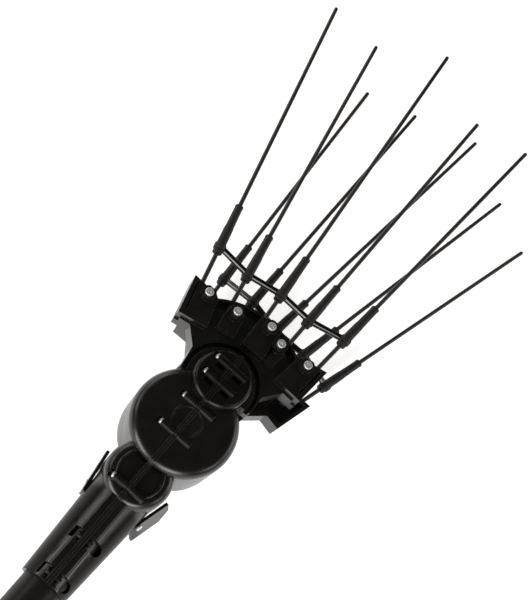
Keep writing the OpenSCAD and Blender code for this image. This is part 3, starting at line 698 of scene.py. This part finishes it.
@dataclass(frozen=True)
class HexNut:
    """A hexagon nut."""

    bore_r: float
    chamfer_share: float = 0.6
    steps: int = 72

    def add(self, surface: Surface, middle: np.ndarray, axis: np.ndarray, height: float,
            corner_r: float) -> None:
        """Adds a nut: a hexagon with chamfered corners round a bore.

        The outside is a hexagon between the chamfers and a circle at each face.

        Args:
            surface: where the points go.
            middle: middle of the nut.
            axis: the nut's direction.
            height: height of the nut.
            corner_r: radius of its corners.
        """
        half = height / 2
        flat = corner_r * math.cos(math.pi / 6)
        chamfer = (corner_r - flat) * self.chamfer_share
        profile = np.array([(-half, self.bore_r), (-half, flat), (-half + chamfer, flat),
                            (half - chamfer, flat), (half, flat), (half, self.bore_r)])
        rim = np.ones((len(profile), self.steps))
        rim[2:4] = hexagon(self.steps)
        surface.add_grid(lathe(profile, middle, axis, self.steps, rim), closed_rows=True)


@dataclass(frozen=True)
class PanScrew:
    """A screw with a domed head and a cross slot, whose shares are of the head's height and radius."""

    head_h: float
    shank_r: float
    dome_share: float = 0.5
    slot_deep_share: float = 0.42
    slot_half_share: float = 0.17
    slot_side_share: float = 0.06
    slot_reach_share: float = 0.62
    slot_end_share: float = 0.08
    core_share: float = 1e-4
    rings: int = 22
    steps: int = 96

    def add(self, surface: Surface, start: np.ndarray, axis: np.ndarray, length: float,
            head_r: float) -> None:
        """Adds a screw.

        The dome falls from its middle by a share of the squared radius. The slot is as deep as a
        ramp of the distance to the nearer of two crossed lines, and ends in a ramp of the radius.

        Args:
            surface: where the points go.
            start: the shank's end on the screw's axis.
            axis: the screw's direction, towards its head.
            length: length of the whole screw.
            head_r: radius of the head.
        """
        r = np.linspace(self.core_share, 1, self.rings)
        dome = np.stack([length - self.head_h * self.dome_share * r ** 2, head_r * r], axis=-1)
        seat = length - self.head_h
        rest = np.array([(seat, head_r), (seat, self.shank_r), (0, self.shank_r), (0, AXIS_R)])
        angle = np.linspace(0, 2 * math.pi, self.steps, endpoint=False)
        off_line = np.minimum(np.abs(np.sin(angle)), np.abs(np.cos(angle))) * r[:, None]
        wide = np.clip((self.slot_half_share - off_line) / self.slot_side_share, 0, 1)
        short = np.clip((self.slot_reach_share - r[:, None]) / self.slot_end_share, 0, 1)
        lift = np.zeros((len(dome) + len(rest), self.steps))
        lift[:len(dome)] = -self.head_h * self.slot_deep_share * wide * short
        surface.add_grid(lathe(np.concatenate([dome, rest]), start, axis, self.steps, lift=lift))


@dataclass
class CombSet:
    """One comb with its tines, sleeves, tie strip and screws."""

    side: Side
    tines: int = 5
    tip_share: float = 0.96
    eye_r: float = 6.1 * MM
    eye_len: float = 6.6 * MM
    neck_r: float = 4.0 * MM
    flange_t: float = 4.2 * MM
    flange_r: float = 5.0 * MM
    sleeve_r: float = 4.95 * MM
    sleeve_mid_r: float = 4.75 * MM
    sleeve_slim_r: float = 4.45 * MM
    sleeve_end_r: float = 4.15 * MM
    lip_r: float = 4.4 * MM
    lip_len: float = 3.0 * MM
    bore_r: float = 2.32 * MM
    bar_w: float = 5.4 * MM
    bar_h: float = 6.4 * MM
    bar_edge: float = 0.7 * MM
    bar_chamfer: float = 1.8 * MM
    groove_at: float = -1.2 * MM
    groove_w: float = 1.4 * MM
    groove_deep: float = 2.4 * MM
    thick_share: float = 0.45
    slope_len: float = 1.2 * MM
    lip_slope: float = 0.6 * MM
    sleeve_round: float = 0.8 * MM
    eye_round: float = 1.6 * MM
    bar_in: float = 1.2 * MM
    rod_rows: int = 24
    rod_steps: int = 24
    tip_rows: int = 9
    sleeve_steps: int = 40
    eye_steps: int = 48
    bar_rows: int = 5
    screw: CapScrew = CapScrew()
    nut: HexNut = HexNut(2.52 * MM)
    sharp: float = 30.0

    def names(self, piece: str) -> list[str]:
        """Names of the CAD nodes of a repeated piece."""
        return [f"{self.side.value}_{piece}_{i}" for i in range(1, self.tines + 1)]

    def tine(self, shop: Workshop, node: str) -> None:
        """Builds a tine as a turned rod that thins slightly and ends in a round tip.

        The radius falls evenly along the rod, and over the last diameter it follows a quarter
        circle down to nothing.

        Args:
            shop: where the piece is placed.
            node: the tine's CAD node.
        """
        start, axis, length = long_axis(node_points(node), FORWARD)
        radius = np.linalg.norm(np.cross(node_points(node) - start, axis), axis=1).max()
        tip_r = radius * self.tip_share
        turn = np.linspace(0, math.pi / 2, self.tip_rows)[1:]
        straight = length - tip_r
        along = np.concatenate([np.linspace(0, straight, self.rod_rows), straight + tip_r * np.sin(turn)])
        r = np.concatenate([np.linspace(radius, tip_r, self.rod_rows), tip_r * np.cos(turn)])
        profile = np.stack([along, np.maximum(r, AXIS_R)], axis=-1)
        surface = Surface()
        surface.add_grid(lathe(profile, start, axis, self.rod_steps))
        shop.place(surface.mesh(f"rod_{node}"), self.side.body, node)

    def sleeve(self, shop: Workshop, node: str) -> np.ndarray:
        """Builds a rubber sleeve: flange, neck, thick half, slim half and a lip at its end.

        Args:
            shop: where the piece is placed.
            node: the sleeve's CAD node.

        Returns:
            Middle of the neck, and the sleeve's direction, as two rows.
        """
        start, axis, length = long_axis(node_points(node), FORWARD)
        neck = self.flange_t + self.eye_len
        lip = length - self.lip_len
        middle = neck + (lip - neck) * self.thick_share
        outline = [(0, self.bore_r), (0, self.flange_r), (self.flange_t, self.flange_r),
                   (self.flange_t, self.neck_r), (neck, self.neck_r), (neck, self.sleeve_r),
                   (middle, self.sleeve_mid_r), (middle + self.slope_len, self.sleeve_slim_r),
                   (lip, self.sleeve_end_r), (lip + self.lip_slope, self.lip_r),
                   (length, self.lip_r), (length, self.bore_r)]
        surface = Surface()
        profile = rounded(outline, self.sleeve_round)
        surface.add_grid(lathe(profile, start, axis, self.sleeve_steps), closed_rows=True)
        shop.place(surface.mesh(f"grip_{node}"), self.side.body, node)
        return np.stack([start + axis * (self.flange_t + self.eye_len / 2), axis])

    def bar_section(self) -> np.ndarray:
        """Section of the strip's bars: a rectangle, chamfered at the rear, with a groove in its top.

        Returns:
            The section's points, first rearwards and then upwards.
        """
        w, h, c = self.bar_w / 2, self.bar_h / 2, self.bar_chamfer
        near, far = self.groove_at + self.groove_w / 2, self.groove_at - self.groove_w / 2
        bed = h - self.groove_deep
        corners = [(0, -h), (w - c, -h), (w, c - h), (w, h - c), (w - c, h), (near, h), (near, bed),
                   (far, bed), (far, h), (-w, h), (-w, -h), (0, -h)]
        return rounded(corners, self.bar_edge)[:-1]

    def tie_strip(self, shop: Workshop, necks: list[np.ndarray]) -> None:
        """Builds the strip that ties the sleeves: an eye round each neck, and bars between.

        Each bar is its section carried along the straight line between two eyes.

        Args:
            shop: where the piece is placed.
            necks: middle and direction of each sleeve's neck.
        """
        surface = Surface()
        half = self.eye_len / 2
        for middle, axis in necks:
            outline = [(-half, self.neck_r), (-half, self.eye_r), (half, self.eye_r), (half, self.neck_r)]
            eye = lathe(rounded(outline, self.eye_round), middle, axis, self.eye_steps)
            surface.add_grid(eye, closed_rows=True, finish=1)
        section = self.bar_section()
        for (a, _), (b, _) in zip(necks[:-1], necks[1:]):
            inset = unit(b - a) * (self.eye_r - self.bar_in)
            t = np.linspace(0, 1, self.bar_rows)[:, None]
            path = (a + inset) * (1 - t) + (b - inset) * t
            surface.add_grid(sweep(section, path, UP * self.side.outward))
        node = f"{self.side.value}_tie_strip"
        piece = shop.place(surface.mesh(f"strip_{node}"), self.side.body, node)
        piece.data.materials.append(shop.materials["soft_rubber"])

    def screws(self, shop: Workshop) -> None:
        """Builds the cap screws, whose heads stand on the comb's outer face.

        Args:
            shop: where the piece is placed.
        """
        node = f"{self.side.value}_comb_screws"
        surface = Surface()
        for low, high in solid_boxes(node):
            foot, top = sorted((low[2] * self.side.outward, high[2] * self.side.outward))
            foot_point = (low + high) / 2 * (FORWARD + LEFT)
            self.screw.add(surface, foot_point, UP * self.side.outward, top, (high[0] - low[0]) / 2, foot)
        shop.place(surface.mesh(f"cap_{node}", self.sharp), self.side.body, node)

    def nuts(self, shop: Workshop) -> None:
        """Builds the nuts in the comb's inner face.

        Args:
            shop: where the piece is placed.
        """
        node = f"{self.side.value}_comb_nuts"
        surface = Surface()
        for low, high in solid_boxes(node):
            size = high - low
            self.nut.add(surface, (low + high) / 2, UP * self.side.outward, size[2], size[0] / 2)
        shop.place(surface.mesh(f"hex_{node}", self.sharp), self.side.body, node)

    def build(self, shop: Workshop) -> None:
        """Builds every piece of the comb.

        Args:
            shop: where the pieces are placed.
        """
        for node in self.names("tine"):
            self.tine(shop, node)
        necks = [self.sleeve(shop, node) for node in self.names("sleeve")]
        self.tie_strip(shop, necks)
        self.screws(shop)
        self.nuts(shop)
        for piece in ("comb", "bush", "drive_pin"):
            shop.dress(f"{self.side.value}_{piece}")


@dataclass
class Housing:
    """The two shells with their hooks and screws, the pole and the pieces fixed inside."""

    body: str = "housing"
    plain: tuple[str, ...] = (
        "left_shell", "right_shell", "left_hook", "right_hook", "pole", "cable_grommet", "pivot_shaft",
        "thrust_washers", "crank_bearings", "motor_mount", "motor_stator", "motor_screws")
    shell_screw: PanScrew = PanScrew(2.6 * MM, 2 * MM)
    hook_screw: PanScrew = PanScrew(2 * MM, 1.8 * MM)
    bolt: CapScrew = CapScrew()
    nut: HexNut = HexNut(2.02 * MM)
    sharp: float = 30.0

    def pan_screws(self, shop: Workshop, node: str, screw: PanScrew) -> None:
        """Builds screws with domed heads on the ends that face outwards.

        The hooks' screws face away from the middle plane, and the others face left.

        Args:
            shop: where the piece is placed.
            node: the screws' CAD node.
            screw: the kind of screw.
        """
        surface = Surface()
        for corners in solids(node):
            towards = LEFT * (np.sign(corners[:, 1].mean()) if node == "hook_screws" else 1)
            start, axis, length = long_axis(corners, towards)
            head_r = np.linalg.norm(np.cross(corners - start, axis), axis=1).max()
            screw.add(surface, start, axis, length, head_r)
        shop.place(surface.mesh(f"turned_{node}"), self.body, node)

    def clamp_bolts(self, shop: Workshop) -> None:
        """Builds the clamp bolts, whose cap heads face left.

        Args:
            shop: where the piece is placed.
        """
        surface = Surface()
        for low, high in solid_boxes("clamp_bolts"):
            foot_point = (low + high) / 2 * (FORWARD + UP)
            self.bolt.add(surface, foot_point, LEFT, high[1], (high[0] - low[0]) / 2, low[1])
        shop.place(surface.mesh("cap_clamp_bolts", self.sharp), self.body, "clamp_bolts")

    def clamp_nuts(self, shop: Workshop) -> None:
        """Builds the nuts on the clamp bolts.

        Args:
            shop: where the piece is placed.
        """
        surface = Surface()
        for low, high in solid_boxes("clamp_nuts"):
            size = high - low
            self.nut.add(surface, (low + high) / 2, LEFT, size[1], max(size[0], size[2]) / 2)
        shop.place(surface.mesh("hex_clamp_nuts", self.sharp), self.body, "clamp_nuts")

    def build(self, shop: Workshop) -> None:
        """Builds the housing's pieces.

        Args:
            shop: where the pieces are placed.
        """
        self.pan_screws(shop, "shell_screws", self.shell_screw)
        self.pan_screws(shop, "hook_screws", self.hook_screw)
        self.clamp_bolts(shop)
        self.clamp_nuts(shop)
        for node in self.plain:
            shop.dress(node)


@dataclass
class Drive:
    """The crank, its rods and the motor's rotor, which keep their CAD shapes."""

    nodes: tuple[str, ...] = (
        "crankshaft", "drive_gear", "upper_con_rod", "lower_con_rod", "motor_bell", "motor_magnets",
        "motor_shaft", "motor_pinion")

    def build(self, shop: Workshop) -> None:
        """Dresses the drive's CAD nodes."""
        for node in self.nodes:
            shop.dress(node)


@dataclass(frozen=True)
class Lamp:
    """A soft square lamp that points at the part."""

    name: str
    azimuth: float
    elevation: float
    size: float
    power: float
    distance: float = 1.6
    tint: tuple[float, float, float] = (1.0, 0.95, 0.91)

    def build(self, aim: Vector) -> None:
        """Makes the lamp.

        Args:
            aim: the point that it lights.
        """
        data = bpy.data.lights.new(self.name, "AREA")
        data.energy = self.power
        data.color = self.tint
        data.size = self.size
        lamp = bpy.data.objects.new(self.name, data)
        bpy.context.scene.collection.objects.link(lamp)
        a, e = math.radians(self.azimuth), math.radians(self.elevation)
        way = Vector((math.cos(a) * math.cos(e), math.sin(a) * math.cos(e), math.sin(e)))
        lamp.location = aim + way * self.distance
        lamp.rotation_euler = way.to_track_quat("Z", "Y").to_euler()


def seen_rays(tree: NodeTree, strength: bpy.types.NodeSocket) -> bpy.types.NodeSocket:
    """A strength that holds for camera, glossy and transmission rays, and is nothing for others.

    Args:
        tree: the material's tree.
        strength: the strength on those rays.

    Returns:
        The strength's socket.
    """
    path = tree.add("ShaderNodeLightPath")
    either = tree.add("ShaderNodeMath", operation="MAXIMUM")
    tree.join(path.outputs["Is Camera Ray"], either.inputs[0])
    tree.join(path.outputs["Is Glossy Ray"], either.inputs[1])
    also = tree.add("ShaderNodeMath", operation="MAXIMUM")
    tree.join(either.outputs[0], also.inputs[0])
    tree.join(path.outputs["Is Transmission Ray"], also.inputs[1])
    scaled = tree.add("ShaderNodeMath", operation="MULTIPLY")
    tree.join(also.outputs[0], scaled.inputs[0])
    tree.join(strength, scaled.inputs[1])
    return scaled.outputs[0]


@dataclass
class Studio:
    """Camera, floor, lamps and surroundings."""

    eye: tuple[float, float, float] = (-0.05148, 0.02539, 0.90267)
    turn: tuple[float, float, float] = (21.530, -18.441, -51.986)
    lens: float = 60.34
    sensor: float = 36
    clip: float = 0.01
    floor_half: float = 6.0
    floor_drop: float = 0.5 * MM
    floor_tint: tuple[float, float, float, float] = (0.9, 0.9, 0.9, 1)
    horizon_glow: float = 1.0
    ceiling_glow: float = 0.05
    glow_top: float = 0.2
    floor_glow: float = 0.72
    far_glow: float = 1.0
    near: float = 0.9
    far: float = 2.2
    aim: tuple[float, float, float] = (0.33, 0, 0)
    lamps: tuple[Lamp, ...] = (
        Lamp("rear_left_lamp", 152, 30, 0.8, 12),
        Lamp("rear_right_lamp", -152, 30, 0.8, 12),
        Lamp("front_left_lamp", 55, 28, 0.8, 4),
        Lamp("front_right_lamp", -55, 28, 0.8, 4),
        Lamp("side_left_lamp", 92, 35, 0.5, 2.2),
        Lamp("side_right_lamp", -92, 35, 0.5, 2.2),
    )

    def camera(self) -> None:
        """Makes the camera, with its place and turn solved from the photograph."""
        data = bpy.data.cameras.new("camera")
        data.lens = self.lens
        data.sensor_width = self.sensor
        data.clip_start = self.clip
        camera = bpy.data.objects.new("camera", data)
        bpy.context.scene.collection.objects.link(camera)
        camera.location = self.eye
        camera.rotation_euler = Euler([math.radians(t) for t in self.turn])
        bpy.context.scene.camera = camera

    def floor(self) -> None:
        """Makes the pale floor, whose own white shows to the camera and in reflections.

        Its own white grows with the distance from the part, as the lamps' light fades.
        """
        level = CAD_BOX[0].z - self.floor_drop
        half = self.floor_half
        mesh = bpy.data.meshes.new("floor")
        ring = ((-1, -1), (1, -1), (1, 1), (-1, 1))
        mesh.from_pydata([(half * x, half * y, level) for x, y in ring], [], [(0, 1, 2, 3)])
        floor = bpy.data.objects.new("floor", mesh)
        bpy.context.scene.collection.objects.link(floor)
        tree = NodeTree("pale_floor")
        tree.shader.inputs["Base Color"].default_value = self.floor_tint
        tree.shader.inputs["Roughness"].default_value = 1.0
        tree.shader.inputs["Specular IOR Level"].default_value = 0.0
        tree.shader.inputs["Emission Color"].default_value = (1, 1, 1, 1)
        off = tree.add("ShaderNodeVectorMath", operation="DISTANCE")
        tree.join(tree.object_coords(), off.inputs[0])
        off.inputs[1].default_value = (self.aim[0], self.aim[1], level)
        glow = tree.fade(off.outputs["Value"], self.near, self.far, self.floor_glow, self.far_glow)
        tree.join(seen_rays(tree, glow), tree.shader.inputs["Emission Strength"])
        mesh.materials.append(tree.material)

    def world(self) -> None:
        """Makes the surroundings, white up to the horizon and dark above it."""
        world = bpy.data.worlds.new("surroundings")
        bpy.context.scene.world = world
        world.use_nodes = True
        nodes, links = world.node_tree.nodes, world.node_tree.links
        background = nodes["Background"]
        background.inputs["Color"].default_value = (1, 1, 1, 1)
        coords = nodes.new("ShaderNodeTexCoord")
        split = nodes.new("ShaderNodeSeparateXYZ")
        links.new(coords.outputs["Generated"], split.inputs["Vector"])
        fade = nodes.new("ShaderNodeMapRange")
        fade.interpolation_type = "SMOOTHSTEP"
        fade.inputs["From Min"].default_value = 0.0
        fade.inputs["From Max"].default_value = self.glow_top
        fade.inputs["To Min"].default_value = self.horizon_glow
        fade.inputs["To Max"].default_value = self.ceiling_glow
        links.new(split.outputs["Z"], fade.inputs["Value"])
        links.new(fade.outputs["Result"], background.inputs["Strength"])

    def build(self) -> None:
        """Builds the studio."""
        self.camera()
        self.floor()
        self.world()
        for lamp in self.lamps:
            lamp.build(Vector(self.aim))
        bpy.context.scene.view_settings.view_transform = "Standard"


def main() -> None:
    """Builds the studio and every sub-assembly."""
    logging.basicConfig(level=logging.INFO, format="%(message)s")
    Studio().build()
    slots = {part["node"]: part["material_slot"] for part in frame["record"]["subparts"]}
    shop = Workshop(Palette().materials(), slots)
    Housing().build(shop)
    for side in Side:
        CombSet(side).build(shop)
    Drive().build(shop)


if __name__ == "__main__":
    main()
